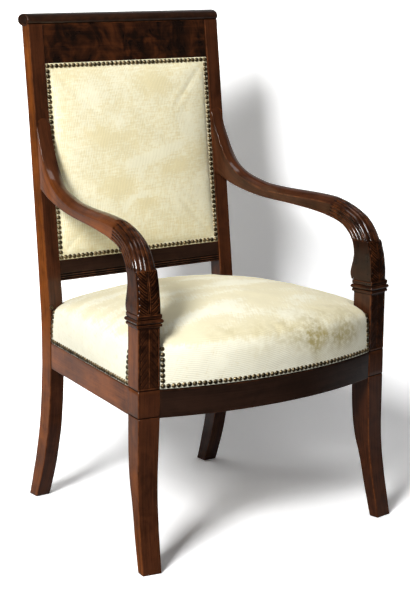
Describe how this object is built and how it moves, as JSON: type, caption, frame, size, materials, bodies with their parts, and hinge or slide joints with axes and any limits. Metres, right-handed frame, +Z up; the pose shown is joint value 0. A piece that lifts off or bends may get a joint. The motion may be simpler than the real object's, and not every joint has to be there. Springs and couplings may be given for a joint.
{
  "type": "upholstered open armchair",
  "caption": "Square-backed mahogany armchair with sabre legs, scrolled reeded arms, a rolled crest and nailed velvet seat and back.",
  "frame": {"origin": "centre of the footprint's bounding box, on the floor", "axes": "+X to the right seen from the front, +Y from the front of the seat to the back, +Z up"},
  "size_m": [0.5666, 0.54, 0.93],
  "materials": {
    "mahogany": "french polished, dark red-brown with worn orange edges",
    "flame_mahogany": "french polished veneer with a mottled figure",
    "beech": "raw, planed",
    "velvet": "cut pile, cream, rubbed to tan at the front",
    "jute_webbing": "twilled band",
    "hessian": "open plain weave",
    "horsehair": "curled hair pad",
    "linen": "plain weave lining",
    "gimp": "woven braid",
    "brass_nails": "antiqued domed heads"
  },
  "bodies": {
    "root": {"left_rear_post": "mahogany", "right_rear_post": "mahogany", "left_front_leg": "mahogany", "right_front_leg": "mahogany", "left_arm": "mahogany", "right_arm": "mahogany", "left_side_seat_rail": "mahogany", "right_side_seat_rail": "mahogany", "front_seat_rail": "mahogany", "rear_seat_rail": "mahogany", "left_front_corner_block": "beech", "right_front_corner_block": "beech", "left_rear_corner_block": "beech", "right_rear_corner_block": "beech", "lower_back_rail": "mahogany", "crest_board": "flame_mahogany", "crest_roll": "mahogany", "seat_webbing": "jute_webbing", "seat_hessian": "hessian", "seat_stuffing": "horsehair", "seat_cover": "velvet", "back_webbing": "jute_webbing", "back_hessian": "hessian", "back_stuffing": "horsehair", "back_cover": "velvet", "rear_cloth": "linen", "rear_gimp": "gimp", "front_seat_nails": "brass_nails", "left_side_seat_nails": "brass_nails", "right_side_seat_nails": "brass_nails", "rear_seat_nails": "brass_nails", "top_back_nails": "brass_nails", "bottom_back_nails": "brass_nails", "left_back_nails": "brass_nails", "right_back_nails": "brass_nails"}
  },
  "joints": []
}
